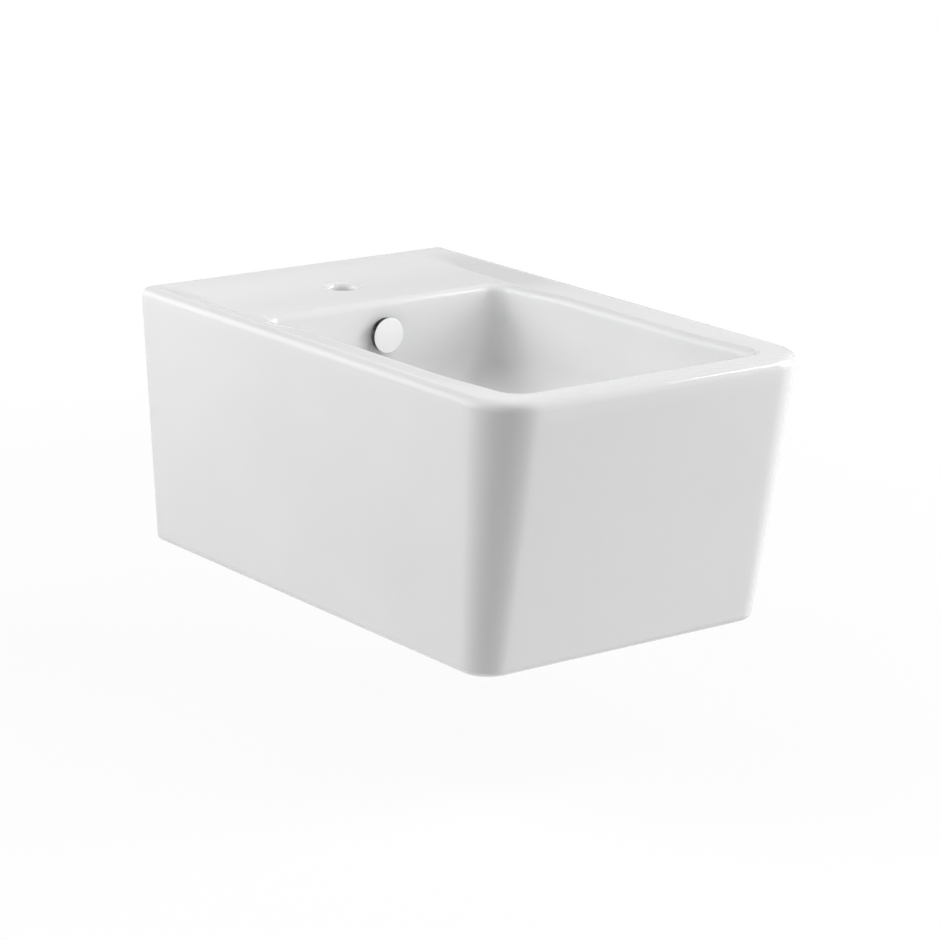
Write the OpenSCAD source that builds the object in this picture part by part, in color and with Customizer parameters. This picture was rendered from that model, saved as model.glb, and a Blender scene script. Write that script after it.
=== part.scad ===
/* [Body] */
// Overall width at the rim
body_w = 370; // [340:5:400]
// Projection from the wall
body_d = 570; // [520:5:600]
// Overall height
body_h = 261; // [245:1:300]
// Height of the rim over the wall fixings
rim_over_fixing = 80; // [74:1:90]
// How far each side leans in at the bottom
side_lean = 16.5; // [0:0.5:24]
// How far the front leans in at the bottom
front_lean = 39; // [20:1:50]
// Plan radius of the front corners at the rim
corner_r = 47.5; // [30:0.5:60]
// Plan radius of the front corners at the bottom
foot_corner_r = 29; // [20:1:50]
// Rounding of the rim's outer edge
rim_r = 10; // [6:0.5:13]
// Rounding of the bottom edge
foot_r = 8; // [4:0.5:10]
// Rounding of the upright edges at the wall
wall_edge_r = 1.5; // [1:0.5:4]
// Wall thickness of the casting
wall = 11; // [9:0.5:12]
// Thickness of the deck under its lowest point
deck_t = 14; // [11:0.5:16]
// Thickness of the back wall at the fixings
back_wall = 14; // [11:0.5:18]
// How far the deck and the bowl's back edge lie under the rim
dish = 7; // [0:0.5:9]
// Length over which the deck comes down from the wall
deck_run = 105; // [80:5:130]
// How far the bowl's side edges lie under the rim
side_dish = 3; // [0:0.5:5]
// Length over which the bowl's side edges change their height
dish_run = 110; // [60:5:150]

/* [Bowl] */
// Rim width beside the bowl
side_rim_w = 44; // [40:0.5:50]
// Rim width in front of the bowl
front_rim_w = 34.8; // [33:0.2:44]
// Deck depth from the wall to the bowl
deck_d = 148.5; // [140:0.5:165]
// Plan radius of the bowl's corners at the mouth
bowl_r = 15; // [8:0.5:24]
// Plan radius of the bowl's corners at the floor
bowl_floor_r = 48; // [30:1:60]
// Rounding of the bowl's mouth
bowl_edge_r = 9; // [5:0.5:10]
// Fillet between the bowl's walls and floor
bowl_fillet = 38; // [28:1:44]
// Bowl depth at its walls
bowl_side_depth = 112; // [104:1:118]
// Bowl depth at the waste
bowl_depth = 128; // [122:1:136]

/* [Tap hole] */
// Tap hole diameter under its mouth
tap_hole_d = 28; // [26:0.5:36]
// Tap hole centre from the wall
tap_from_wall = 78; // [65:1:90]
// Rounding of the tap hole's mouth
tap_mouth_r = 6.5; // [2:0.5:7]

/* [Wall fixing] */
// Distance between the two wall studs
fixing_spacing = 180; // [180:10:230]
// Hole in the casting for each fixing sleeve
fixing_hole_d = 25; // [22:0.5:28]
// Clearance hole for the stud
stud_hole_d = 13; // [11:0.5:15]
// Flange diameter of the fixing sleeve
sleeve_flange_d = 36; // [32:1:40]
// Flange thickness of the fixing sleeve
sleeve_flange_t = 3; // [2:0.5:4]
// Washer diameter
washer_d = 34; // [28:1:36]
// Washer thickness
washer_t = 2.5; // [1.5:0.5:3]
// Nut size across its flats
nut_af = 19; // [18:1:24]
// Nut thickness
nut_t = 10; // [8:0.5:12]
// Width of the pipe opening in the back
pipe_opening_w = 240; // [180:5:260]
// Top of the pipe opening under the fixings
pipe_opening_drop = 48; // [36:1:70]
// Width of the lip round the underside
lip_w = 34; // [20:1:40]

/* [Overflow] */
// Overflow centre under the rim
overflow_drop = 41; // [39:1:48]
// Overflow hole diameter in the bowl
overflow_hole_d = 26; // [24:0.5:28]
// Overflow cap diameter
overflow_cap_d = 35; // [32:0.5:40]
// Overflow cap thickness
overflow_cap_t = 2.5; // [2:0.5:4]
// Cap face in front of the bowl's wall
overflow_stand = 9; // [8:0.5:12]
// How far the cap pulls out
overflow_pull = 14; // [8:1:14]
// Width of the channel round the waste
chamber_w = 9; // [6:0.5:10]
// Overflow duct width
duct_w = 40; // [30:1:50]
// Overflow duct depth
duct_t = 12; // [8:0.5:13]
// Thickness of the duct's own walls
duct_wall = 8; // [6:0.5:9]

/* [Waste] */
// Waste centre from the wall
waste_from_wall = 240; // [230:5:260]
// Hole in the casting for the waste
waste_hole_d = 46; // [44:0.5:48]
// Flange diameter of the waste
flange_d = 63; // [60:0.5:66]
// Flange thickness of the waste
flange_t = 2.5; // [2:0.25:3.5]
// Outside of the waste's thread
waste_thread_d = 41.9; // [41:0.1:42.6]
// Inside of the waste
waste_bore_d = 36; // [34:0.5:37]
// Casting between the flange seat and the overflow chamber
land_t = 11; // [9:0.5:14]
// Height of the overflow chamber round the waste
chamber_h = 14; // [10:0.5:16]
// Casting under the overflow chamber
land_foot_t = 10; // [8:0.5:14]
// Length of thread left free for the trap
tail_l = 24; // [18:1:30]

/* [Plug] */
// Plug cap diameter
plug_d = 58; // [50:0.5:62]
// How far the plug rises
plug_travel = 8; // [6:0.5:9]
// Plug stem diameter
stem_d = 6; // [5:0.25:7]
// Bore of the latch housing
latch_bore_d = 9.2; // [9:0.1:10]
// Wire diameter of the latch spring
spring_wire_d = 0.8; // [0.6:0.1:1]
// Turns of the latch spring
spring_turns = 7; // [5:1:9]

/* [Hidden] */
$fn = 64;
// How far a cut runs past the face that it opens
past = 1;
// Radial clearance of a thread or a push fit
fit = 0.05;
// Free gap between pieces that move past each other
gap = 0.3;
// How far a washer or seal keeps inside the piece that clamps it
edge_in = 1;
// Points along a corner, a long side and a short side of each plan outline
corner_n = 6;
side_n = 8;
end_n = 3;
// Smallest plan radius of an inside corner
min_r = 6;
// Plan radius of the hollow's corners at the wall
hollow_r = 12;
// Slope where the hollow's roof and lip meet its walls
hollow_ease = 8;

// Main levels and walls
top_z = rim_over_fixing;
foot_z = top_z - body_h;
roof_z = top_z - dish - deck_t;
bowl_back_y = -deck_d;
bowl_front_y = -(body_d - front_rim_w);
bowl_half_w = body_w / 2 - side_rim_w;
bowl_wall_depth = bowl_side_depth - bowl_fillet;
side_run = side_rim_w - rim_r - bowl_edge_r;
tap_z = top_z - dish * ease(tap_from_wall / deck_run);

// Waste levels
waste_y = -waste_from_wall;
floor_z = top_z - bowl_depth;
recess_t = 3;
recess_clear = 1.5;
seat_z = floor_z - recess_t;
chamber_z = seat_z - land_t - chamber_h;
boss_z = chamber_z - land_foot_t;
chamber_r = waste_hole_d / 2 + chamber_w;
boss_r = chamber_r + duct_wall;
land_margin = 6;
waste_land_r = flange_d / 2 + land_margin;
gasket_t = 2;
flange_z = seat_z + gasket_t;
thread_r = waste_thread_d / 2;
thread_h = 0.5;
barrel_r = thread_r - thread_h;
cone_t = 6;
slip_t = 2;
waste_nut_t = 10;
waste_nut_r = 30;
nut_thread_z = boss_z - cone_t - slip_t - waste_nut_t - edge_in;
groove_t = 1.5;
tail_z = nut_thread_z - groove_t - tail_l;

// Plug and latch levels
seal_in_r = 14;
seal_out_r = 21;
seal_t = 2.5;
seal_groove_t = 1;
plug_under_z = flange_z + flange_t + gap + plug_travel + seal_t - seal_groove_t;
plug_edge_t = 3;
plug_dome_t = 3;
plug_boss_r = 5.5;
plug_boss_h = 6;
stem_grip = 7;
stem_collar_t = 4;
hub_t = 12;
latch_bore_r = latch_bore_d / 2;
latch_wall = 1.4;
latch_r = latch_bore_r + latch_wall;
collar_grip = 2;
collar_head_t = 3;
latch_rise = 18;
hub_drop = 14;
latch_top_z = chamber_z - hub_drop + hub_t + latch_rise;
stem_stop_z = latch_top_z - collar_grip - gap;
cam_t = 6;
cam_top_z = stem_stop_z - stem_collar_t - gap;
spring_room = 23.4;
latch_floor_z = cam_top_z - cam_t - spring_room;
latch_floor_t = 2;
hub_z = chamber_z - hub_drop;
hub_wall = 3.5;
hub_r = latch_r + hub_wall;
rib_w = 4;
rib_t = 6;
latch_flange_t = 3;

// Overflow places
overflow_z = top_z - overflow_drop;
overflow_seal_t = 1;
ring_play = 1.5;
ring_wall = 2;
ring_barrel_r = overflow_hole_d / 2 - ring_play;
ring_bore_r = ring_barrel_r - ring_wall;
ring_flange_r = overflow_cap_d / 2 - edge_in;
ring_step_w = 1.5;
ring_step_r = ring_flange_r - ring_step_w;
ring_flange_t = 2;
ring_step_t = 2;
leg_t = 1.8;
leg_grip = 6;
leg_l = overflow_pull + leg_grip;
duct_y = bowl_back_y + wall;
duct_over = 2;
duct_top_z = overflow_z + overflow_hole_d / 2 + duct_over;

// Places that follow the rim's lean, from 0 at the rim to 1 at the foot
function lean(z) = min(max((top_z - rim_r - z) / (body_h - rim_r - foot_r), 0), 1);
function half_w(z) = body_w / 2 - side_lean * lean(z);
function front_y(z) = -body_d + front_lean * lean(z);
function plan_r(z) = corner_r + (foot_corner_r - corner_r) * lean(z);

// How far the top lies under the rim's outer edge at a point of the plan
function ease(t) = 1 - pow(1 - min(max(t, 0), 1), 2);
function soft(t) = let (c = min(max(t, 0), 1)) c * c * (3 - 2 * c);
function dish_at(y) =
  side_dish * soft((y - bowl_front_y) / dish_run)
  + (dish - side_dish) * soft((y - bowl_back_y) / dish_run + 1);
function dip(x, y) =
  dish_at(y) * soft((body_w / 2 - rim_r - abs(x)) / side_run) * ease(-y / deck_run);

// A plan outline with round corners, seen from above and turning left
function corner(x, y, r, a) =
  [for (i = [0 : corner_n]) [x + r * cos(a + 90 * i / corner_n), y + r * sin(a + 90 * i / corner_n)]];
function along(p, q, n) = [for (i = [1 : n]) p + (q - p) * i / (n + 1)];
function plan(w, back, front, rb, rf) = concat(
  corner(w - rf, front + rf, rf, -90),
  along([w, front + rf], [w, back - rb], side_n),
  corner(w - rb, back - rb, rb, 0),
  along([w - rb, back], [rb - w, back], end_n),
  corner(rb - w, back - rb, rb, 90),
  along([-w, back - rb], [-w, front + rf], side_n),
  corner(rf - w, front + rf, rf, 180),
  along([rf - w, front], [w - rf, front], end_n)
);
function lift(points, z) = [for (p = points) [p[0], p[1], z]];
function blend(a, b, t) = [for (i = [0 : len(a) - 1]) a[i] + (b[i] - a[i]) * t];

// Outlines of the casting's outside, of its hollow and of the bowl
function outside(z, inset) = lift(
  plan(half_w(z) - inset, 0, front_y(z) + inset, wall_edge_r, plan_r(z) - inset), z);
function inside(z, inset, back) = lift(
  plan(half_w(z) - inset, -back, front_y(z) + inset, hollow_r, max(plan_r(z) - inset, min_r)), z);
function bowl_plan_r(drop) =
  bowl_r + (bowl_floor_r - bowl_r) * min(drop / bowl_side_depth, 1);
function bowl(drop, inset) = [
  for (p = plan(bowl_half_w - inset, bowl_back_y - inset, bowl_front_y + inset,
                max(bowl_plan_r(drop) - min(inset, 0), 1), max(bowl_plan_r(drop) - min(inset, 0), 1)))
    [p[0], p[1], top_z - drop - dish_at(p[1]) * max(1 - drop / bowl_wall_depth, 0)]
];
function waste_circle(points, r, z) = [
  for (p = points)
    let (v = [p[0], p[1] - waste_y])
    [v[0] / norm(v) * r, waste_y + v[1] / norm(v) * r, z]
];

// A closed solid through outlines that have the same number of points, with a fan over each end
function total(points, i = 0) = i < len(points) ? points[i] + total(points, i + 1) : [0, 0, 0];
function middle(points) = total(points) / len(points);
module loft(rings) {
  n = len(rings[0]);
  m = len(rings);
  sides = [
    for (i = [0 : m - 2], j = [0 : n - 1])
      let (a = i * n + j, b = i * n + (j + 1) % n)
      each [[a, a + n, b + n], [a, b + n, b]]
  ];
  first_end = [for (j = [0 : n - 1]) [j, (j + 1) % n, m * n]];
  last_end = [for (j = [0 : n - 1]) [(m - 1) * n + (j + 1) % n, (m - 1) * n + j, m * n + 1]];
  polyhedron(
    points = [for (r = rings) each r, middle(rings[0]), middle(rings[m - 1])],
    faces = concat(first_end, sides, last_end)
  );
}

// The skirt, deck and bowl as one solid block
module block() {
  steps = [0 : 22.5 : 90];
  foot = [for (a = [90 : -22.5 : 0]) outside(foot_z + foot_r * (1 - sin(a)), foot_r * (1 - cos(a)))];
  rim = [for (a = steps) outside(top_z - rim_r * (1 - sin(a)), rim_r * (1 - cos(a)))];
  mouth = [for (a = steps) bowl(bowl_edge_r * (1 - cos(a)), -bowl_edge_r * (1 - sin(a)))];
  crest = rim[len(rim) - 1];
  deck = [
    for (t = [0.12, 0.3, 0.5, 0.75])
      [for (p = blend(crest, mouth[0], t)) [p[0], p[1], top_z - dip(p[0], p[1])]]
  ];
  walls = [for (s = [0.4, 0.7, 1]) bowl(bowl_wall_depth * s, 0)];
  fillet = [
    for (a = [20 : 20 : 80]) bowl(bowl_wall_depth + bowl_fillet * sin(a), bowl_fillet * (1 - cos(a)))
  ];
  edge = fillet[len(fillet) - 1];
  floor_edge = waste_circle(edge, waste_land_r, floor_z);
  loft(concat(foot, rim, deck, mouth, walls, fillet, [for (t = [0.35, 0.7, 1]) blend(edge, floor_edge, t)]));
}

// The open space under the deck and round the bowl
module hollow() {
  lip_z = foot_z + wall;
  skirt = [
    inside(foot_z - past, lip_w, lip_w),
    inside(lip_z, lip_w, lip_w),
    inside(lip_z + hollow_ease, wall, back_wall),
    inside(roof_z - hollow_ease, wall, back_wall),
    inside(roof_z, wall + hollow_ease / 2, back_wall)
  ];
  roof = lift(bowl(top_z - roof_z, -wall), roof_z);
  walls = [for (s = [0.6, 1]) bowl(bowl_wall_depth * s, -wall)];
  fillet = [
    for (a = [25 : 25 : 75])
      bowl(bowl_wall_depth + (bowl_fillet + wall) * sin(a), bowl_fillet - (bowl_fillet + wall) * cos(a))
  ];
  edge = fillet[len(fillet) - 1];
  land = waste_circle(edge, boss_r + wall, floor_z - wall);
  loft(concat(skirt, [roof], walls, fillet, [blend(edge, land, 0.5), land]));
}

// A box between two corners
module span(a, b) {
  translate(a)
    cube(b - a);
}

// The cast duct behind the bowl and under its floor, and the way through it
module duct() {
  w = duct_w / 2 + duct_wall;
  y = duct_y + duct_t + duct_wall;
  span([-w, duct_y - wall / 2, chamber_z - duct_wall], [w, y, roof_z + past]);
  span([-w, waste_y, chamber_z - duct_wall], [w, y, chamber_z + chamber_h + duct_wall]);
}
module duct_cut() {
  span(
    [-duct_w / 2, duct_y, chamber_z],
    [duct_w / 2, duct_y + duct_t, duct_top_z]
  );
  span(
    [-duct_w / 2, waste_y, chamber_z],
    [duct_w / 2, duct_y + duct_t, chamber_z + chamber_h]
  );
}

// The round mouth of the tap hole
module tap_mouth() {
  r = tap_hole_d / 2;
  arc = [for (a = [0 : 15 : 90]) [r + tap_mouth_r * (1 - cos(a)), tap_mouth_r * (sin(a) - 1)]];
  rotate_extrude()
    polygon(concat([[r - past, -tap_mouth_r]], arc, [
      [r + tap_mouth_r, dish + past],
      [r - past, dish + past]
    ]));
}

module at_waste(z) {
  translate([0, waste_y, z])
    children();
}
module ring_z(r, bore, h) {
  difference() {
    cylinder(r = r, h = h);
    translate([0, 0, -past])
      cylinder(r = bore, h = h + 2 * past);
  }
}
// Turns a shape from standing on +Z to facing the front
module facing_front(y) {
  translate([0, y, overflow_z])
    rotate([90, 0, 0])
      children();
}
module at_fixings(y) {
  for (s = [-1, 1])
    translate([s * fixing_spacing / 2, y, 0])
      rotate([90, 0, 0])
        children();
}

module ceramic_body() color("whitesmoke") {
  difference() {
    union() {
      difference() {
        block();
        hollow();
      }
      duct();
      at_waste(boss_z)
        cylinder(r = boss_r, h = floor_z - wall / 2 - boss_z);
    }
    duct_cut();
    at_waste(chamber_z)
      cylinder(r = chamber_r, h = chamber_h);
    at_waste(boss_z - past)
      cylinder(d = waste_hole_d, h = floor_z - boss_z + 2 * past);
    at_waste(seat_z)
      cylinder(r = flange_d / 2 + recess_clear, h = recess_t + past);
    facing_front(duct_y + duct_t / 2)
      cylinder(d = overflow_hole_d, h = duct_t / 2 + wall + past);
    translate([0, -tap_from_wall, roof_z - past])
      cylinder(d = tap_hole_d, h = top_z - roof_z + 2 * past);
    translate([0, -tap_from_wall, tap_z])
      tap_mouth();
    at_fixings(past)
      cylinder(d = fixing_hole_d, h = back_wall + 2 * past);
    span(
      [-pipe_opening_w / 2, -lip_w - past, foot_z - past],
      [pipe_opening_w / 2, past, -pipe_opening_drop]
    );
  }
}

module overflow_seal() color("dimgray")
  facing_front(bowl_back_y) {
    ring_z(ring_flange_r - edge_in, ring_barrel_r + fit, overflow_seal_t);
    translate([0, 0, -wall + past])
      ring_z(overflow_hole_d / 2 - fit, ring_barrel_r + fit, wall - past);
  }

module overflow_ring() color("silver")
  facing_front(bowl_back_y - overflow_seal_t)
    difference() {
      union() {
        translate([0, 0, -wall - overflow_seal_t])
          cylinder(r = ring_barrel_r, h = wall + overflow_seal_t + ring_flange_t);
        cylinder(r = ring_flange_r, h = ring_flange_t);
        translate([0, 0, ring_flange_t])
          cylinder(r = ring_step_r, h = ring_step_t);
      }
      translate([0, 0, -wall - overflow_seal_t - past])
        cylinder(r = ring_bore_r, h = wall + overflow_seal_t + ring_flange_t + ring_step_t + 2 * past);
    }

module overflow_cap() color("silver")
  facing_front(bowl_back_y - overflow_stand + overflow_cap_t) {
    rim_t = 0.5;
    cylinder(d = overflow_cap_d, h = overflow_cap_t - rim_t);
    translate([0, 0, overflow_cap_t - rim_t])
      cylinder(d1 = overflow_cap_d, d2 = overflow_cap_d - 2 * rim_t, h = rim_t);
    for (a = [90, 210, 330])
      rotate(a)
        translate([0, 0, -leg_l])
          intersection() {
            ring_z(ring_bore_r - fit, ring_bore_r - leg_t, leg_l + rim_t);
            span([0, -leg_t * 2, 0], [ring_bore_r, leg_t * 2, leg_l + rim_t]);
          }
  }

module waste_body() color("silver")
  at_waste(0)
    difference() {
      union() {
        translate([0, 0, flange_z])
          cylinder(d = flange_d, h = flange_t);
        translate([0, 0, tail_z])
          cylinder(r = barrel_r, h = flange_z + flange_t - tail_z);
        translate([0, 0, tail_z])
          cylinder(r = thread_r, h = tail_l);
        translate([0, 0, nut_thread_z])
          cylinder(r = thread_r, h = boss_z - nut_thread_z);
      }
      difference() {
        translate([0, 0, tail_z - past])
          cylinder(d = waste_bore_d, h = flange_z + flange_t - tail_z + 2 * past);
        translate([0, 0, hub_z])
          cylinder(r = hub_r, h = hub_t);
        for (a = [90, 210, 330])
          translate([0, 0, hub_z + (hub_t - rib_t) / 2])
            rotate(a)
              translate([0, -rib_w / 2, 0])
                cube([waste_bore_d / 2 + fit, rib_w, rib_t]);
      }
      translate([0, 0, hub_z - past])
        cylinder(r = latch_r + fit, h = hub_t + 2 * past);
      span([-flange_d / 2, -rib_w * 2, chamber_z], [flange_d / 2, rib_w * 2, chamber_z + chamber_h]);
    }

module waste_gasket() color("dimgray")
  at_waste(seat_z)
    ring_z(flange_d / 2 - edge_in, barrel_r + fit, gasket_t);

module waste_cone_washer() color("dimgray")
  at_waste(boss_z - cone_t)
    difference() {
      cylinder(r1 = waste_nut_r - 2 * edge_in, r2 = waste_nut_r, h = cone_t);
      translate([0, 0, -past])
        cylinder(r = thread_r + fit, h = cone_t + 2 * past);
    }

module waste_slip_washer() color("white")
  at_waste(boss_z - cone_t - slip_t)
    ring_z(waste_nut_r - edge_in, thread_r + fit, slip_t);

module waste_nut() color("goldenrod")
  at_waste(boss_z - cone_t - slip_t - waste_nut_t)
    difference() {
      cylinder(r = waste_nut_r, h = waste_nut_t, $fn = 8);
      translate([0, 0, -past])
        cylinder(r = thread_r + fit, h = waste_nut_t + 2 * past, $fn = 64);
    }

module plug_cap() color("silver")
  at_waste(plug_under_z)
    difference() {
      chamfer = 1;
      rotate_extrude()
        polygon(concat(
          [
            [0, -plug_boss_h],
            [plug_boss_r, -plug_boss_h],
            [plug_boss_r, 0],
            [seal_in_r - fit, 0],
            [seal_in_r - fit, seal_groove_t],
            [seal_out_r + fit, seal_groove_t],
            [seal_out_r + fit, 0],
            [plug_d / 2 - chamfer, 0],
            [plug_d / 2, chamfer]
          ],
          [
            for (t = [1, 0.96, 0.88, 0.72, 0.5, 0.25, 0])
              [plug_d / 2 * t, plug_edge_t + plug_dome_t * (1 - pow(t, 3))]
          ]
        ));
      translate([0, 0, -plug_boss_h - past])
        cylinder(r = stem_d / 2 + fit, h = stem_grip + past);
    }

module plug_seal() color("dimgray")
  at_waste(plug_under_z + seal_groove_t - seal_t)
    ring_z(seal_out_r, seal_in_r, seal_t);

module plug_stem() color("silver")
  at_waste(stem_stop_z - stem_collar_t) {
    cylinder(r = latch_bore_r - gap, h = stem_collar_t);
    cylinder(d = stem_d, h = plug_under_z - plug_boss_h + stem_grip - stem_stop_z + stem_collar_t);
  }

module latch_housing() color("white")
  at_waste(0)
    difference() {
      union() {
        translate([0, 0, latch_floor_z - latch_floor_t])
          cylinder(r = latch_r, h = latch_top_z - latch_floor_z + latch_floor_t);
        translate([0, 0, hub_z + hub_t])
          cylinder(r = hub_r - edge_in, h = latch_flange_t, $fn = 6);
      }
      translate([0, 0, latch_floor_z])
        cylinder(r = latch_bore_r, h = latch_top_z - latch_floor_z + past);
    }

module latch_collar() color("white")
  at_waste(latch_top_z)
    difference() {
      union() {
        cylinder(r = latch_r + edge_in, h = collar_head_t);
        translate([0, 0, -collar_grip])
          cylinder(r = latch_bore_r - fit, h = collar_grip);
      }
      translate([0, 0, -collar_grip - past])
        cylinder(r = stem_d / 2 + fit, h = collar_grip + collar_head_t + 2 * past);
    }

module latch_cam() color("steelblue")
  at_waste(cam_top_z - cam_t) {
    fins = 4;
    fin_t = 1.4;
    fin_h = 1.2;
    cylinder(r = latch_bore_r - fin_h, h = cam_t);
    for (i = [0 : fins - 1])
      rotate(i * 360 / fins)
        intersection() {
          cylinder(r = latch_bore_r - gap, h = cam_t);
          translate([0, -fin_t / 2, 0])
            cube([latch_bore_r, fin_t, cam_t]);
        }
  }

module latch_spring() color("silver") {
  sides = 6;
  steps = 12;
  wire_r = spring_wire_d / 2;
  coil_r = latch_bore_r - gap - wire_r;
  rise = spring_room - gap - 2 * wire_r;
  count = spring_turns * steps;
  echo(least_gap_between_spring_turns = rise / spring_turns - spring_wire_d);
  at_waste(latch_floor_z + wire_r)
    loft([
      for (i = [0 : count])
        let (a = i * 360 / steps)
        [
          for (k = [0 : sides - 1])
            let (q = coil_r + wire_r * cos(k * 360 / sides))
            [q * cos(a), q * sin(a), rise * i / count + wire_r * sin(k * 360 / sides)]
        ]
    ]);
}

module fixing_sleeves() color("white")
  at_fixings(0) {
    ring_z(fixing_hole_d / 2 - gap, stud_hole_d / 2, back_wall);
    translate([0, 0, back_wall])
      ring_z(sleeve_flange_d / 2, stud_hole_d / 2, sleeve_flange_t);
  }

module fixing_washers() color("silver")
  at_fixings(-back_wall - sleeve_flange_t)
    ring_z(washer_d / 2, stud_hole_d / 2, washer_t);

module fixing_nuts() color("silver")
  at_fixings(-back_wall - sleeve_flange_t - washer_t)
    difference() {
      cylinder(d = nut_af / cos(30), h = nut_t, $fn = 6);
      translate([0, 0, -past])
        cylinder(d = stud_hole_d, h = nut_t + 2 * past, $fn = 64);
    }

ceramic_body();
overflow_cap();
overflow_ring();
overflow_seal();
waste_body();
waste_gasket();
waste_cone_washer();
waste_slip_washer();
waste_nut();
plug_cap();
plug_seal();
plug_stem();
latch_housing();
latch_collar();
latch_cam();
latch_spring();
fixing_sleeves();
fixing_washers();
fixing_nuts();
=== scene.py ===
import math

import bmesh
import bpy
import numpy as np
from mathutils import Matrix, Vector


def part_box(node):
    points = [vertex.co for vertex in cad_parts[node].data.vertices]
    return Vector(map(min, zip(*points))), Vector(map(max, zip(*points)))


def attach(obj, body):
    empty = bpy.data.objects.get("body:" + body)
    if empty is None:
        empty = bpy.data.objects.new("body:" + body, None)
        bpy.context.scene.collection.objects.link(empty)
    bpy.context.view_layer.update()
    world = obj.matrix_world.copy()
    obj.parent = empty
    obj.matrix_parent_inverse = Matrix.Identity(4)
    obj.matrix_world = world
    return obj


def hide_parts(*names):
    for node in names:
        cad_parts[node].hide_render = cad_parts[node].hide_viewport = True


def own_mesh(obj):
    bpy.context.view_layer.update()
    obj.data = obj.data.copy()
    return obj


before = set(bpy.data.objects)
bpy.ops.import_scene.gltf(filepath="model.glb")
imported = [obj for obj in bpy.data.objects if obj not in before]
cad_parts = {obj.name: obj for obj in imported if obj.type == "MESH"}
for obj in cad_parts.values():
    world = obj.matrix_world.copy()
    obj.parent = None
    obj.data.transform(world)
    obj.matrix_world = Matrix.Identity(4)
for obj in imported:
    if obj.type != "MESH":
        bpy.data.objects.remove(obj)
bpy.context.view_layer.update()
scene = bpy.context.scene
scene.view_settings.view_transform = "Standard"


# Camera: a long lens to the left of the bidet and a little above its rim, with the slight roll of a
# hand-levelled tripod, so that the deck, the bowl's far walls, the left side and the front all show.
mm = 0.001
azimuth = math.radians(-37.587)
elevation = math.radians(15.385)
roll = math.radians(1.105)
lens_at = Vector((-1926.6, -2794.0, 802.6)) * mm
lens_length = 131.47

back = Vector((
    math.sin(azimuth) * math.cos(elevation), -math.cos(azimuth) * math.cos(elevation), math.sin(elevation)))
right = Vector((math.cos(azimuth), math.sin(azimuth), 0))
up = back.cross(right)
rolled_right = math.cos(roll) * right + math.sin(roll) * up
rolled_up = math.cos(roll) * up - math.sin(roll) * right
camera = bpy.data.objects.new("camera", bpy.data.cameras.new("camera"))
camera.data.lens = lens_length
camera.data.sensor_width = 36
camera.data.clip_end = 30
turned = Matrix((rolled_right, rolled_up, back)).transposed().to_4x4()
camera.matrix_world = Matrix.Translation(lens_at) @ turned
scene.collection.objects.link(camera)
scene.camera = camera


# Ceramic casting: one slip-cast vitreous china body, glazed white outside and in the bowl. Its skirt
# leans in to the foot, its deck dips to the bowl, and its back and its hollow underside are bare clay.
glaze_colour = (0.80, 0.80, 0.80)
glaze_pooled = (0.765, 0.767, 0.77)
clay_colour = (0.74, 0.72, 0.68)
clay_stained = (0.66, 0.63, 0.58)

# Sizes in millimetres; body_w and bowl_w are half widths, from the middle plane
low, high = (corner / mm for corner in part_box("ceramic_body"))
top_z = high.z
foot_z = low.z
body_w = high.x
body_d = -low.y
side_lean = 16.5
front_lean = 39
corner_r = 47.5
foot_corner_r = 29
rim_r = 10
foot_r = 8
wall_edge_r = 1.5
wall = 11
back_wall = 14
deck_t = 14
dish = 7
side_dish = 3
dish_run = 110
deck_run = 105
ramp_round = 0.08
side_rim_w = 44
front_rim_w = 34.8
deck_d = 148.5
bowl_r = 15
bowl_floor_r = 48
bowl_edge_r = 9
bowl_fillet = 38
bowl_side_depth = 112
bowl_depth = 128
lip_w = 34
lip_edge_r = 3
hollow_r = 12
hollow_ease = 8
waste_y = -240
waste_land_r = 37.5
waste_hole_r = 23
recess_r = 33
recess_t = 3
recess_edge_r = 1
recess_flare = 1.5
boss_r = 40
boss_edge_r = 3
tap_y = -78
tap_r = 14
tap_mouth_r = 6.5
tap_mouth_end = 78
tap_flare = 4
overflow_z = 39
overflow_hole_r = 13
fixing_x = 90
fixing_hole_r = 12.5
duct_w = 40
duct_t = 12
duct_wall = 8
duct_r = 3
duct_shell_r = 5
duct_rise = 15
chamber_h = 14
chamber_r = 32
land_t = 11
land_foot_t = 10
pipe_opening_w = 240
pipe_opening_z = -48
pipe_opening_r = 18
past = 1

# Points along each corner, side and end of an outline, and rings along each part of the casting
corner_n = 20
side_n = 120
end_n = 36
skirt_n = 16
deck_n = 48
wall_n = 12
fillet_n = 16
floor_n = 14
lip_n = 9
room_n = 8
under_n = 6
under_fillet_n = 12

roof_z = top_z - dish - deck_t
bowl_back = -deck_d
bowl_front = front_rim_w - body_d
bowl_w = body_w - side_rim_w
bowl_wall_depth = bowl_side_depth - bowl_fillet
side_run = side_rim_w - rim_r - bowl_edge_r
floor_z = top_z - bowl_depth
seat_z = floor_z - recess_t
chamber_z = seat_z - land_t - chamber_h
boss_z = chamber_z - land_foot_t
duct_y = bowl_back + wall


def clamp(t):
    return np.clip(t, 0, 1)


def soft(t):
    """A rise from 0 to 1 that is level at both ends."""
    return clamp(t) ** 2 * (3 - 2 * clamp(t))


def ease(t):
    """A rise from 0 to 1 that ends level."""
    return 1 - (1 - clamp(t)) ** 2


def ramp(t):
    """A straight rise from 0 to 1 that is rounded at both ends."""
    rise = clamp(t)
    first = np.minimum(rise, ramp_round) ** 2
    last = np.maximum(rise - 1 + ramp_round, 0) ** 2
    return ((first - last) / 2 / ramp_round + np.maximum(rise - ramp_round, 0)) / (1 - ramp_round)


def lean(z):
    """How far down the skirt a height lies, from 0 under the rim to 1 over the foot."""
    return clamp((top_z - rim_r - z) / (top_z - foot_z - rim_r - foot_r))


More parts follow.
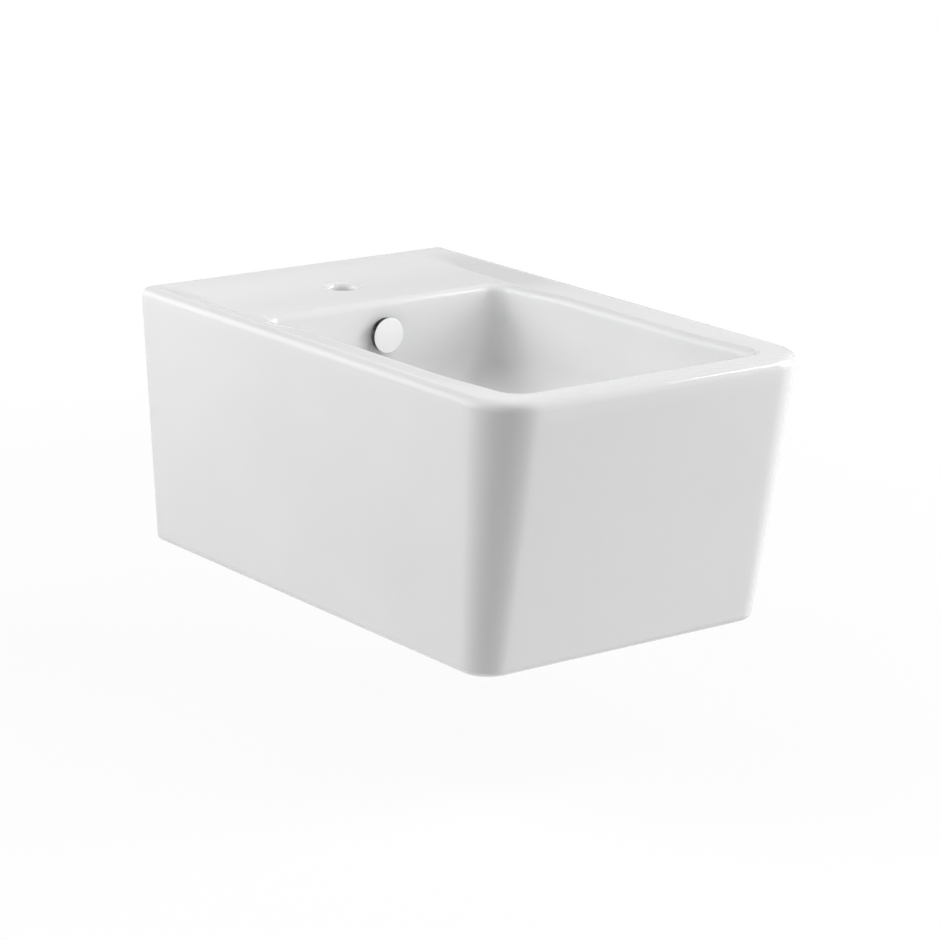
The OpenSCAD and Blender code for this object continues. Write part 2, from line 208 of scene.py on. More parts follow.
def dish_at(y):
    """How far the deck and rim dip towards the bowl at a distance from the wall."""
    side_part = side_dish * soft((y - bowl_front) / dish_run)
    rear_part = (dish - side_dish) * soft((y - bowl_back) / dish_run + 1)
    return side_part + rear_part


def deck_height(x, y):
    return top_z - dish_at(y) * ramp((body_w - rim_r - abs(x)) / side_run) * ease(-y / deck_run)


def quarter(x, y, r, start, n=corner_n):
    a = np.radians(start + 90 * np.arange(n + 1) / n)
    return np.column_stack((x + r * np.cos(a), y + r * np.sin(a)))


def between(p, q, n):
    return np.array(p) + (np.array(q) - p) * np.arange(1, n + 1)[:, None] / (n + 1)


def plan(w, rear, front, rear_r, front_r):
    """A plan outline with round corners, turning left, always with the same number of points."""
    return np.vstack((
        quarter(w - front_r, front + front_r, front_r, -90),
        between((w, front + front_r), (w, rear - rear_r), side_n),
        quarter(w - rear_r, rear - rear_r, rear_r, 0),
        between((w - rear_r, rear), (rear_r - w, rear), end_n),
        quarter(rear_r - w, rear - rear_r, rear_r, 90),
        between((-w, rear - rear_r), (-w, front + front_r), side_n),
        quarter(front_r - w, front + front_r, front_r, 180),
        between((front_r - w, front), (w - front_r, front), end_n)))


def at_height(outline, z):
    return np.column_stack((outline, np.broadcast_to(z, len(outline))))


def outside(z, inset):
    """The skirt's outline at a height, drawn in by the rounding of the rim or the foot."""
    f = lean(z)
    rise = max(z - (top_z - wall_edge_r), 0)
    rear = -(wall_edge_r - math.sqrt(max(wall_edge_r ** 2 - rise ** 2, 0)))
    r = corner_r + (foot_corner_r - corner_r) * f
    return at_height(plan(body_w - side_lean * f - inset, rear, front_lean * f - body_d + inset,
                          wall_edge_r, r - inset), z)


def inside(z, inset, rear):
    """The hollow's outline at a height."""
    f = lean(z)
    r = max(corner_r + (foot_corner_r - corner_r) * f - inset, hollow_r / 2)
    return at_height(
        plan(body_w - side_lean * f - inset, -rear, front_lean * f - body_d + inset, hollow_r, r), z)


def bowl(drop, inset):
    """The bowl's outline at a depth under its edge."""
    r = bowl_r + (bowl_floor_r - bowl_r) * clamp(drop / bowl_side_depth) - min(inset, 0)
    outline = plan(bowl_w - inset, bowl_back - inset, bowl_front + inset, r, r)
    return at_height(outline, top_z - drop - dish_at(outline[:, 1]) * max(1 - drop / bowl_wall_depth, 0))


def waste_circle(ring, r, z):
    """The points of a ring drawn in to a circle round the waste."""
    v = ring[:, :2] - (0, waste_y)
    return at_height((0, waste_y) + v / np.linalg.norm(v, axis=1)[:, None] * r, z)


def mesh_object(name, points, faces, materials, slots=None):
    """A linked object whose points are given in millimetres."""
    mesh = bpy.data.meshes.new(name)
    mesh.from_pydata((np.array(points) * mm).tolist(), [], faces)
    for material in materials:
        mesh.materials.append(material)
    if slots is not None:
        mesh.polygons.foreach_set("material_index", slots)
    obj = bpy.data.objects.new(name, mesh)
    scene.collection.objects.link(obj)
    return obj


def loft(name, rings, materials, slot=0):
    """A closed solid through outlines with the same number of points, with a fan over each end."""
    n = len(rings[0])
    m = len(rings)
    faces = []
    for i in range(m - 1):
        for j in range(n):
            a, b = i * n + j, i * n + (j + 1) % n
            faces.append((a, b, b + n, a + n))
    for j in range(n):
        faces.append(((j + 1) % n, j, m * n))
        faces.append(((m - 1) * n + j, (m - 1) * n + (j + 1) % n, m * n + 1))
    points = np.vstack(list(rings) + [rings[0].mean(0), rings[-1].mean(0)])
    return mesh_object(name, points, faces, materials, [slot] * len(faces))


def face_outwards(obj):
    """Merges doubles and turns every face outwards."""
    bm = bmesh.new()
    bm.from_mesh(obj.data)
    bmesh.ops.remove_doubles(bm, verts=bm.verts, dist=0.001 * mm)
    bmesh.ops.dissolve_degenerate(bm, edges=bm.edges, dist=0.001 * mm)
    bmesh.ops.recalc_face_normals(bm, faces=bm.faces)
    bm.to_mesh(obj.data)
    bm.free()
    return obj


def plain_mesh(obj):
    """Puts the evaluated mesh in place of the object's mesh and modifiers."""
    bpy.context.view_layer.update()
    graph = bpy.context.evaluated_depsgraph_get()
    mesh = bpy.data.meshes.new_from_object(obj.evaluated_get(graph))
    obj.modifiers.clear()
    obj.data = mesh
    return obj


def carve(body, *steps):
    """Joins or cuts a body by (operation, tool) in turn, and removes the tools."""
    for operation, tool in steps:
        step = body.modifiers.new(operation, "BOOLEAN")
        step.operation = operation
        step.object = face_outwards(tool)
        step.solver = "MANIFOLD"
    plain_mesh(body)
    for _, tool in steps:
        bpy.data.objects.remove(tool)
    return body


def smooth(obj, sharp=35):
    """Smooth shading that stays crisp at edges over an angle."""
    obj.data.shade_smooth()
    obj.data.set_sharp_from_angle(angle=math.radians(sharp))
    return obj


def rounded(corners, n=6):
    """A closed outline whose corners (x, y, radius) are rounded."""
    points = []
    for i, (x, y, r) in enumerate(corners):
        p = np.array((x, y), float)
        if r == 0:
            points.append(p)
            continue
        a = np.array(corners[i - 1][:2]) - p
        b = np.array(corners[(i + 1) % len(corners)][:2]) - p
        a = a / np.linalg.norm(a)
        b = b / np.linalg.norm(b)
        half = math.acos(max(min(a @ b, 1), -1)) / 2
        centre = p + (a + b) / np.linalg.norm(a + b) * r / math.sin(half)
        first = p + a * r / math.tan(half) - centre
        last = p + b * r / math.tan(half) - centre
        start = math.atan2(first[1], first[0])
        turn = (math.atan2(last[1], last[0]) - start + math.pi) % (2 * math.pi) - math.pi
        for k in range(n + 1):
            angle = start + turn * k / n
            points.append(centre + r * np.array((math.cos(angle), math.sin(angle))))
    return np.array(points)


def prism(name, outline, z0, z1, place, materials, slot=0):
    """An upright prism, then set in its place."""
    n = len(outline)
    points = [place @ Vector((x, y, z)) for z in (z0, z1) for x, y in outline]
    faces = [(i, (i + 1) % n, n + (i + 1) % n, n + i) for i in range(n)]
    faces += [tuple(range(n))[::-1], tuple(range(n, 2 * n))]
    return mesh_object(name, points, faces, materials, [slot] * len(faces))


def lathe(name, outline, place, materials, slot=0, steps=128):
    """A turned solid: an outline of (radius, height) about the upright axis, then set in its place."""
    n = len(outline)
    points = []
    for k in range(steps):
        c, s = math.cos(2 * math.pi * k / steps), math.sin(2 * math.pi * k / steps)
        points += [place @ Vector((r * c, r * s, z)) for r, z in outline]
    faces = [
        (k * n + i, k * n + (i + 1) % n, (k + 1) % steps * n + (i + 1) % n, (k + 1) % steps * n + i)
        for k in range(steps) for i in range(n)]
    obj = mesh_object(name, points, faces, materials, [slot] * len(faces))
    return face_outwards(obj)


def box_outline(x0, y0, x1, y1, r=0):
    return rounded([(x0, y0, r), (x1, y0, r), (x1, y1, r), (x0, y1, r)])


def disc_outline(r, z0, z1):
    return [(0, z0), (r, z0), (r, z1), (0, z1)]


def group_with(name, inputs, outputs):
    """A shader node group with named inputs (name, kind, value) and outputs (name, kind)."""
    tree = bpy.data.node_groups.new(name, "ShaderNodeTree")
    for label, kind, value in inputs:
        socket = tree.interface.new_socket(label, in_out="INPUT", socket_type="NodeSocket" + kind)
        socket.default_value = value
    for label, kind in outputs:
        tree.interface.new_socket(label, in_out="OUTPUT", socket_type="NodeSocket" + kind)
    return tree, tree.nodes.new("NodeGroupInput").outputs, tree.nodes.new("NodeGroupOutput").inputs


def add(tree, kind, values=None, **settings):
    """A node with its settings and the values or links of its inputs."""
    made = tree.nodes.new(kind)
    for key, value in settings.items():
        setattr(made, key, value)
    for key, value in (values or {}).items():
        if isinstance(value, bpy.types.NodeSocket):
            tree.links.new(value, made.inputs[key])
        else:
            made.inputs[key].default_value = value
    return made


def scaled_noise(tree, scale, detail=2.0, low_end=0.35, high_end=0.65):
    """Noise on the piece's own coordinates, stretched to run from 0 to 1."""
    where = add(tree, "ShaderNodeTexCoord").outputs["Object"]
    noise = add(tree, "ShaderNodeTexNoise", {"Vector": where, "Scale": scale, "Detail": detail})
    return add(tree, "ShaderNodeMapRange", {
        "Value": noise.outputs["Fac"], "From Min": low_end, "From Max": high_end}).outputs["Result"]


# What every finish shares: slow patches of colour and polish, and a fine grain in the surface
finish, given, gives = group_with(
    "surface_finish",
    [("Main colour", "Color", (0.8, 0.8, 0.8, 1)), ("Patch colour", "Color", (0.7, 0.7, 0.7, 1)),
     ("Patch scale", "Float", 10.0), ("Smoothest", "Float", 0.1), ("Roughest", "Float", 0.2),
     ("Grain scale", "Float", 400.0), ("Grain depth", "Float", 0.00001)],
    [("Colour", "Color"), ("Roughness", "Float"), ("Normal", "Vector")])
polish_fineness = 3.7
patches = scaled_noise(finish, given["Patch scale"], detail=3.0)
mixed = add(finish, "ShaderNodeMix", {
    "Factor": patches, 6: given["Main colour"], 7: given["Patch colour"]}, data_type="RGBA")
polish_scale = add(finish, "ShaderNodeMath", {
    0: given["Patch scale"], 1: polish_fineness}, operation="MULTIPLY")
polish_patches = add(finish, "ShaderNodeMapRange", {
    "Value": scaled_noise(finish, polish_scale.outputs[0], detail=4.0),
    "To Min": given["Smoothest"], "To Max": given["Roughest"]})
fine_grain = scaled_noise(finish, given["Grain scale"], detail=3.0, low_end=0.2, high_end=0.8)
grain_bump = add(finish, "ShaderNodeBump", {
    "Height": fine_grain, "Distance": given["Grain depth"], "Strength": 1.0})
finish.links.new(mixed.outputs[2], gives["Colour"])
finish.links.new(polish_patches.outputs["Result"], gives["Roughness"])
finish.links.new(grain_bump.outputs["Normal"], gives["Normal"])


def finished(name, main, patch, patch_scale, polish, grain, **shader_values):
    """A material with the shared finish at its own values; the rest is set on the shader itself.

    polish is the least and the most roughness, and grain its scale and its depth in millimetres.
    """
    material = bpy.data.materials.new(name)
    material.use_nodes = True
    tree = material.node_tree
    shader = tree.nodes["Principled BSDF"]
    made = tree.nodes.new("ShaderNodeGroup")
    made.node_tree = finish
    values = ((*main, 1), (*patch, 1), patch_scale, *polish, grain[0], grain[1] * mm)
    for socket, value in zip(made.inputs, values):
        socket.default_value = value
    tree.links.new(made.outputs["Colour"], shader.inputs["Base Color"])
    tree.links.new(made.outputs["Roughness"], shader.inputs["Roughness"])
    tree.links.new(made.outputs["Normal"], shader.inputs["Normal"])
    for key, value in shader_values.items():
        shader.inputs[key.replace("_", " ")].default_value = value
    material.diffuse_color = (*main, 1)
    return material


glaze = finished(
    "white_glaze", main=glaze_colour, patch=glaze_pooled, patch_scale=4, polish=(0.07, 0.13),
    grain=(260, 0.004), Coat_Weight=0.35, Coat_Roughness=0.03)
clay = finished(
    "fired_clay", main=clay_colour, patch=clay_stained, patch_scale=14, polish=(0.75, 0.95),
    grain=(1800, 0.06))
china = [glaze, clay]


def steps_to(n):
    """Equal steps that end at 1, without 0."""
    return np.arange(1, n + 1) / n


quarter_turn = np.radians(np.linspace(0, 90, 11))
skirt_top = top_z - rim_r
skirt_foot = foot_z + foot_r
foot = [outside(foot_z + foot_r * (1 - math.sin(a)), foot_r * (1 - math.cos(a))) for a in quarter_turn[::-1]]
skirt = [outside(skirt_foot + (skirt_top - skirt_foot) * t, 0) for t in steps_to(skirt_n)[:-1]]
rim = [outside(top_z - rim_r * (1 - math.sin(a)), rim_r * (1 - math.cos(a))) for a in quarter_turn]
mouth = [bowl(bowl_edge_r * (1 - math.cos(a)), -bowl_edge_r * (1 - math.sin(a))) for a in quarter_turn]
deck = []
for t in steps_to(deck_n)[:-1]:
    flat = rim[-1][:, :2] * (1 - t) + mouth[0][:, :2] * t
    deck.append(at_height(flat, deck_height(flat[:, 0], flat[:, 1])))
walls = [bowl(bowl_edge_r + (bowl_wall_depth - bowl_edge_r) * t, 0) for t in steps_to(wall_n)]
fillet_end = 80
fillet = [
    bowl(bowl_wall_depth + bowl_fillet * math.sin(a), bowl_fillet * (1 - math.cos(a)))
    for a in np.radians(fillet_end * steps_to(fillet_n))]
edge = fillet[-1]
land = waste_circle(edge, waste_land_r, floor_z)
floor_run = np.linalg.norm(land[:, :2] - edge[:, :2], axis=1)
floor_fall = -floor_run / math.tan(math.radians(fillet_end))
floor = []
for t in steps_to(floor_n):
    ring = edge * (1 - t) + land * t
    ring[:, 2] = (edge[:, 2] + (land[:, 2] - edge[:, 2]) * soft(t)) + floor_fall * t * (1 - t) ** 2
    floor.append(ring)
casting = loft("casting", foot + skirt + rim + deck + mouth + walls + fillet + floor, china)
face_outwards(casting)
facing_wall = 0.95
for face in casting.data.polygons:
    if face.normal.y > facing_wall and face.center.y > -wall_edge_r * mm:
        face.material_index = 1

lip_z = foot_z + wall
lip = [
    inside(foot_z + lip_edge_r * (1 - math.cos(a)), lip_w - lip_edge_r * (1 - math.sin(a)), lip_w)
    for a in quarter_turn]
below = inside(foot_z, lip_w - lip_edge_r, lip_w) - (0, 0, 2 * past)
room = [
    inside(lip_z + hollow_ease * t, lip_w + (wall - lip_w) * soft(t), lip_w + (back_wall - lip_w) * soft(t))
    for t in np.linspace(0, 1, lip_n)]
room += [
    inside(lip_z + hollow_ease + (roof_z - 2 * hollow_ease - lip_z) * t, wall, back_wall)
    for t in steps_to(room_n)]
room += [
    inside(roof_z - hollow_ease * (1 - math.sin(a)), wall + hollow_ease * (1 - math.cos(a)) / 2, back_wall)
    for a in quarter_turn[2::2]]
roof = [at_height(bowl(top_z - roof_z, -wall)[:, :2], roof_z)]
under_r = bowl_fillet + wall
under_end = 75
under = [bowl(top_z - roof_z + (bowl_wall_depth - top_z + roof_z) * t, -wall) for t in steps_to(under_n)]
under += [
    bowl(bowl_wall_depth + under_r * math.sin(a), bowl_fillet - under_r * math.cos(a))
    for a in np.radians(under_end * steps_to(under_fillet_n))]
around_boss = waste_circle(under[-1], boss_r + wall, floor_z - wall)
under += [under[-1] * (1 - t) + around_boss * t for t in steps_to(under_n)]
hollow = loft("hollow", [below] + lip + room + roof + under, china, 1)

upright = Matrix.Identity(4)
at_waste = Matrix.Translation((0, waste_y, 0))
into_wall = Matrix.Rotation(math.radians(-90), 4, "X")
facing_front = Matrix.Translation((0, 0, overflow_z)) @ Matrix.Rotation(math.radians(90), 4, "X")


def turned_tool(radius, z0, z1, place, slot):
    """A round tool; slot 0 leaves glaze where it cuts and slot 1 bare clay."""
    return lathe("tool", disc_outline(radius, z0, z1), place, china, slot, 96)


def box_tool(x0, y0, z0, x1, y1, z1, r, slot):
    """An upright box with its corners rounded in plan."""
    return prism("tool", box_outline(x0, y0, x1, y1, r), z0, z1, upright, china, slot)


def tap_tool():
    """The tap hole with its round mouth, which follows the deck's slope."""
    around = np.radians(np.arange(0, 360, 3))
    circle = np.column_stack((np.cos(around), np.sin(around)))
    edge_r = tap_r + tap_mouth_r
    rim_height = deck_height(edge_r * circle[:, 0], tap_y + edge_r * circle[:, 1])
    rings = [at_height(circle * tap_r + (0, tap_y), roof_z - wall)]
    for a in np.radians(np.linspace(0, tap_mouth_end, 13)):
        flat = circle * (tap_r + tap_mouth_r * (1 - math.cos(a))) + (0, tap_y)
        rings.append(at_height(flat, rim_height - tap_mouth_r * (1 - math.sin(a))))
    outwards = rings[-1] - rings[-2]
    rings.append(rings[-1] + outwards * tap_flare)
    rings.append(rings[-1] + (0, 0, rim_r))
    return loft("tap_tool", rings, china)


duct_half = duct_w / 2
shell_half = duct_half + duct_wall
duct_rear = duct_y + duct_t
pipe_half = pipe_opening_w / 2
duct_top = overflow_z + duct_rise
chamber_top = chamber_z + chamber_h
opening = rounded([
    (-pipe_half, foot_z - wall, 0), (pipe_half, foot_z - wall, 0),
    (pipe_half, pipe_opening_z, pipe_opening_r), (-pipe_half, pipe_opening_z, pipe_opening_r)])
opening = [(x, -z) for x, z in opening]
boss = lathe("boss", rounded([
    (0, boss_z, 0), (boss_r, boss_z, boss_edge_r), (boss_r, floor_z - wall / 2, 0),
    (0, floor_z - wall / 2, 0)]), at_waste, china, slot=1)
recess = lathe("recess", rounded([
    (0, seat_z, 0), (recess_r, seat_z, recess_edge_r), (recess_r, floor_z - past, 0),
    (recess_r + recess_flare, floor_z + past, 0), (0, floor_z + past, 0)]), at_waste, china)
fixing_holes = [
    turned_tool(fixing_hole_r, -back_wall - past, past, Matrix.Translation((x, 0, 0)) @ into_wall, 1)
    for x in (-fixing_x, fixing_x)]
carve(
    casting,
    ("DIFFERENCE", hollow),
    ("UNION", box_tool(-shell_half, duct_y - wall / 2, chamber_z - duct_wall,
                       shell_half, duct_rear + duct_wall, roof_z + past, duct_shell_r, 1)),
    ("UNION", box_tool(-shell_half, waste_y, chamber_z - duct_wall,
                       shell_half, duct_rear + duct_wall, chamber_top + duct_wall, 0, 1)),
    ("UNION", boss),
    ("DIFFERENCE", box_tool(-duct_half, duct_y, chamber_z, duct_half, duct_rear, duct_top, duct_r, 0)),
    ("DIFFERENCE", box_tool(-duct_half, waste_y, chamber_z, duct_half, duct_rear, chamber_top, 0, 0)),
    ("DIFFERENCE", turned_tool(chamber_r, chamber_z, chamber_top, at_waste, 0)),
    ("DIFFERENCE", turned_tool(waste_hole_r, boss_z - past, floor_z + past, at_waste, 0)),
    ("DIFFERENCE", recess),
    ("DIFFERENCE", turned_tool(overflow_hole_r, -duct_y - duct_t / 2, -bowl_back + past, facing_front, 0)),
    ("DIFFERENCE", tap_tool()),
    *[("DIFFERENCE", hole) for hole in fixing_holes],
    ("DIFFERENCE", prism("opening", opening, -lip_w - past, past, into_wall, china, slot=1)),
)
smooth(casting, 32)
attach(casting, "ceramic")
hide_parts("ceramic_body")


# Overflow cap: a chromed disc whose face is painted white as a painted reflection of a bright light, with a
# side painted dark as painted shade, and three sprung legs, which push into the ring and let the cap pull out
# for cleaning. Water passes behind its edge.
# Painted reflection: the cap's face is a flat white that stands in for the chrome reflecting a bright light.
reflection_white_paint = finished(
    "painted_reflection_white", main=(0.93, 0.93, 0.93), patch=(0.91, 0.91, 0.912), patch_scale=60, polish=(0.12, 0.2),
    grain=(900, 0.001), Coat_Weight=0.5, Coat_Roughness=0.05)
# Painted shade: a near-black chrome on the cap's side, for the shadow and the gap at its edge.
painted_shade_chrome = finished(
    "painted_shade_chrome", main=(0.045, 0.045, 0.048), patch=(0.07, 0.07, 0.073), patch_scale=60,
    polish=(0.14, 0.24), grain=(900, 0.0015), Metallic=1.0)
chrome = finished(
    "polished_chrome", main=(0.86, 0.865, 0.87), patch=(0.82, 0.825, 0.835), patch_scale=30,
    polish=(0.03, 0.07), grain=(900, 0.0015), Metallic=1.0)
cap_front = -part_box("overflow_cap")[0].y / mm
cap_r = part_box("overflow_cap")[1].x / mm
cap_t = 2.5
cap_back = cap_front - cap_t
cap_taper_w = 1.2
cap_taper_t = 0.5
painted_reflection_t = 1
painted_reflection_turned = -0.6
painted_shade_w = 1.3
leg_l = 20
leg_r = 9.45
leg_t = 1.8
leg_root = 0.3
leg_taper_w = 0.5
leg_spread = 15
bead_h = 0.45
bead_z = 2.5
neck_z = 5
thirds = (90, 210, 330)


def cap_leg(angle):
    """A leg with a snap bead near its end, standing behind the disc."""
    root = cap_back + leg_root
    end = cap_back - leg_l
    section = rounded([
        (leg_r - leg_t, root, 0), (leg_r - leg_t, end, 0.4), (leg_r - leg_taper_w, end, 0.4),
        (leg_r, end + bead_z, 0.6), (leg_r - bead_h, end + neck_z, 0.6), (leg_r - bead_h, root, 0)])
    rings = []
    for a in np.radians(angle + np.linspace(-leg_spread, leg_spread, 9)):
        ring = [facing_front @ Vector((r * math.cos(a), r * math.sin(a), z)) for r, z in section]
        rings.append(np.array(ring))
    return loft("leg", rings, [chrome])


def off_axis(face):
    """How far the middle of a face lies from the overflow's axis, in metres."""
    return math.hypot(face.center.x, face.center.z - overflow_z * mm)


cap = lathe("overflow_cap_piece", rounded([
    (0, cap_back, 0), (cap_r - cap_taper_w, cap_back, 0), (cap_r, cap_back + cap_taper_t, 0.4),
    (cap_r, cap_front, 0.55), (0, cap_front, 0)], 8), facing_front, [chrome], steps=160)
carve(cap, *[("UNION", cap_leg(angle)) for angle in thirds])
cap.data.materials.append(reflection_white_paint)
cap.data.materials.append(painted_shade_chrome)
# Faces turned to the front get the painted reflection white; the outer band of the disc gets the painted
# shade.
for face in cap.data.polygons:
    if face.normal.y < painted_reflection_turned and -face.center.y > (cap_front - painted_reflection_t) * mm:
        face.material_index = 1
    elif off_axis(face) > (cap_r - painted_shade_w) * mm:
        face.material_index = 2
smooth(cap, 40)
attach(cap, "overflow_cover")
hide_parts("overflow_cap")


# Overflow ring: the chromed bush behind the cap, its flange painted darker as painted shade under the cap.
# Its barrel passes through the bowl's wall and the stepped flange, turned in one piece, holds the pale seal
# against the glaze.
# Painted shade: a dark chrome for the ring's flange, which lies in the cap's shadow.
flange_shade_paint = finished(
    "painted_shade_flange", main=(0.2, 0.2, 0.205), patch=(0.3, 0.3, 0.305), patch_scale=60, polish=(0.12, 0.2),
    grain=(900, 0.0015), Metallic=1.0)
ring_back = -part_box("overflow_ring")[1].y / mm
ring_front = -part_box("overflow_ring")[0].y / mm
ring_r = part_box("overflow_ring")[1].x / mm
ring_flange_t = 4
seal_front = ring_front - ring_flange_t
ring_bore = 9.5
barrel_r = 11.5
step_w = 1.5
step_front = seal_front + 2
ring = lathe("overflow_ring_piece", rounded([
    (ring_bore, ring_back, 0.3), (barrel_r, ring_back, 0.3), (barrel_r, seal_front, 0),
    (ring_r, seal_front, 0.35), (ring_r, step_front, 0.6), (ring_r - step_w, step_front, 0.25),
    (ring_r - step_w, ring_front, 0.6), (ring_bore, ring_front, 0.8)]),
    facing_front, [chrome, flange_shade_paint], steps=160)
# The flange's front faces take the painted shade chrome.
for face in ring.data.polygons:
    if -face.center.y > seal_front * mm and off_axis(face) > barrel_r * mm:
        face.material_index = 1
smooth(ring, 40)
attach(ring, "ceramic")
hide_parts("overflow_ring")


# Overflow seal: a pale rubber ring with a sleeve, pressed between the ring's flange and the bowl and
# filling the play of the hole.
soft_seal = finished(
    "pale_rubber", main=(0.52, 0.52, 0.5), patch=(0.44, 0.44, 0.42), patch_scale=60, polish=(0.55, 0.7),
    grain=(2500, 0.02))
fit = 0.05
seal_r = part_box("overflow_seal")[1].x / mm
seal_t = 1
wall_face = -bowl_back
sleeve_back = wall_face - wall + 1
seal = lathe("overflow_seal_piece", rounded([
    (barrel_r + fit, sleeve_back, 0.2), (overflow_hole_r - fit, sleeve_back, 0.2),
    (overflow_hole_r - fit, wall_face, 0), (seal_r, wall_face, 0.25), (seal_r, wall_face + seal_t, 0.25),
    (barrel_r + fit, wall_face + seal_t, 0)]), facing_front, [soft_seal])
smooth(seal, 40)
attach(seal, "ceramic")
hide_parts("overflow_seal")


# Waste body: a chromed brass outlet with a thin dished flange, overflow slots in its barrel, a spider
# that carries the latch, and a pipe thread for the nut and the trap below.
flange_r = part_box("waste_body")[1].x / mm
flange_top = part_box("waste_body")[1].z / mm
tail_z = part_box("waste_body")[0].z / mm
flange_t = 2.5
flange_under = flange_top - flange_t
flange_bevel = 1
flange_lip_h = 0.6
flange_round_w = 1.2
flange_round_h = 0.3
flange_crown_w = 7
mouth_w = 3
mouth_drop = 0.5
mouth_h = 3.4
thread_r = 20.95
thread_root = 19.75
thread_pitch = 2.309
thread_sides = 3
ridge_share = 0.9
run_in = 0.4
run_out = 0.2
tube_r = thread_r - 0.5
tube_foot = boss_z + 0.6
bore_r = 18
tail_l = 24
tail_top = tail_z + tail_l
thread_gap = 1.5
hub_drop = 14
hub_z = chamber_z - hub_drop
hub_t = 12
hub_top = hub_z + hub_t
hub_r = 9.5
latch_r = 6
rib_w = 4
rib_t = 6
rib_z = hub_z + (hub_t - rib_t) / 2
rib_root = 1.5
rib_grip = 0.3
slot_half = 8
slot_r = 5


def coil_tree():
    """Geometry Nodes: a coil of a round or three-cornered wire, for threads and springs."""
    tree = bpy.data.node_groups.new("coil", "GeometryNodeTree")
    for label, kind in (("Turns", "Float"), ("Radius", "Float"), ("Rise", "Float"), ("Wire radius", "Float"),
                        ("Points", "Int"), ("Sides", "Int"), ("Material", "Material")):
        tree.interface.new_socket(label, in_out="INPUT", socket_type="NodeSocket" + kind)
    tree.interface.new_socket("Geometry", in_out="OUTPUT", socket_type="NodeSocketGeometry")
    source = tree.nodes.new("NodeGroupInput").outputs
    spiral = add(tree, "GeometryNodeCurveSpiral", {
        "Resolution": source["Points"], "Rotations": source["Turns"], "Start Radius": source["Radius"],
        "End Radius": source["Radius"], "Height": source["Rise"]})
    wire = add(tree, "GeometryNodeCurvePrimitiveCircle", {
        "Resolution": source["Sides"], "Radius": source["Wire radius"]})
    swept = add(tree, "GeometryNodeCurveToMesh", {
        "Curve": spiral.outputs["Curve"], "Profile Curve": wire.outputs["Curve"], "Fill Caps": True})
    real = add(tree, "GeometryNodeRealizeInstances", {"Geometry": swept.outputs["Mesh"]})
    painted = add(tree, "GeometryNodeSetMaterial", {
        "Geometry": real.outputs["Geometry"], "Material": source["Material"]})
    add(tree, "NodeGroupOutput", {0: painted.outputs["Geometry"]})
    return tree


coil = coil_tree()


def coiled(name, turns, radius, rise, wire_r, sides, place, material, points_a_turn):
    """A coil as a plain mesh in its place, with its sizes in millimetres."""
    obj = mesh_object(name, [], [], [])
    step = obj.modifiers.new("coil", "NODES")
    step.node_group = coil
    values = {
        "Turns": float(turns), "Radius": radius * mm, "Rise": rise * mm, "Wire radius": wire_r * mm,
        "Points": int(points_a_turn * turns), "Sides": sides, "Material": material}
    for item in coil.interface.items_tree:
        if item.in_out == "INPUT":
            step[item.identifier] = values[item.name]
    plain_mesh(obj)
    moved = place.copy()
    moved.translation = place.translation * mm
    obj.data.transform(moved)
    obj.data.update()
    return face_outwards(obj)


def join(main, *others):
    """Joins loose shells to a piece as one mesh."""
    bm = bmesh.new()
    bm.from_mesh(main.data)
    for other in others:
        bm.from_mesh(other.data)
        bpy.data.objects.remove(other)
    bm.to_mesh(main.data)
    bm.free()
    return main


def thread(z0, z1):
    """The ridge of the pipe thread between two heights, over the tube's plain core."""
    wire = (thread_r - thread_root) * ridge_share
    turns = (z1 - z0 - 2 * wire) / thread_pitch
    place = at_waste @ Matrix.Translation((0, 0, z0 + wire))
    return coiled("thread", turns, thread_r - wire, turns * thread_pitch, wire, thread_sides, place, chrome,
                  points_a_turn=64)


waste = lathe("waste_body_piece", rounded([
    (bore_r, tail_z, 0.4), (thread_root, tail_z, 0.6), (thread_root, tail_top, 0), (thread_root, boss_z, 0),
    (tube_r, tube_foot, 0), (tube_r, flange_under, 0.5), (flange_r - flange_bevel, flange_under, 0),
    (flange_r, flange_under + flange_lip_h, 0.5),
    (flange_r - flange_round_w, flange_top - flange_round_h, 1.0), (flange_r - flange_crown_w, flange_top, 4),
    (bore_r + mouth_w, flange_top - mouth_drop, 3), (bore_r, flange_top - mouth_h, 1.2)]),
    at_waste, [chrome], steps=160)
along_x = Matrix(((0, 0, 1, 0), (1, 0, 0, 0), (0, 1, 0, 0), (0, 0, 0, 1)))
slot = prism("slot", box_outline(-slot_half, chamber_z, slot_half, chamber_top, slot_r), -flange_r, flange_r,
             at_waste @ along_x, [chrome])
hub = lathe("hub", rounded([
    (latch_r + fit, hub_z, 0.4), (hub_r, hub_z, 0.8), (hub_r, hub_top, 0.8), (latch_r + fit, hub_top, 0.4)]),
    at_waste, [chrome], steps=64)
ribs = [
    prism("rib", box_outline(hub_r - rib_root, -rib_w / 2, bore_r + rib_grip, rib_w / 2), rib_z,
          rib_z + rib_t, at_waste @ Matrix.Rotation(math.radians(a), 4, "Z"), [chrome])
    for a in thirds]
carve(waste, ("DIFFERENCE", slot), ("UNION", hub), *[("UNION", rib) for rib in ribs])
join(waste, thread(tail_z + run_in, tail_top), thread(tail_top + thread_gap, boss_z - run_out))
smooth(waste, 35)
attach(waste, "ceramic")
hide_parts("waste_body")


# Waste seals: a thin gasket under the flange and a black cone washer that the nut drives up into the
# hole's lower edge, with a hard white slip washer between them so that the nut turns without dragging it.
black_rubber = finished(
    "black_rubber", main=(0.028, 0.028, 0.03), patch=(0.045, 0.045, 0.046), patch_scale=90,
    polish=(0.5, 0.68), grain=(3000, 0.03))
white_plastic = finished(
    "white_plastic", main=(0.74, 0.74, 0.71), patch=(0.7, 0.7, 0.67), patch_scale=40, polish=(0.32, 0.45),
    grain=(1500, 0.012))
cone_taper_w = 2


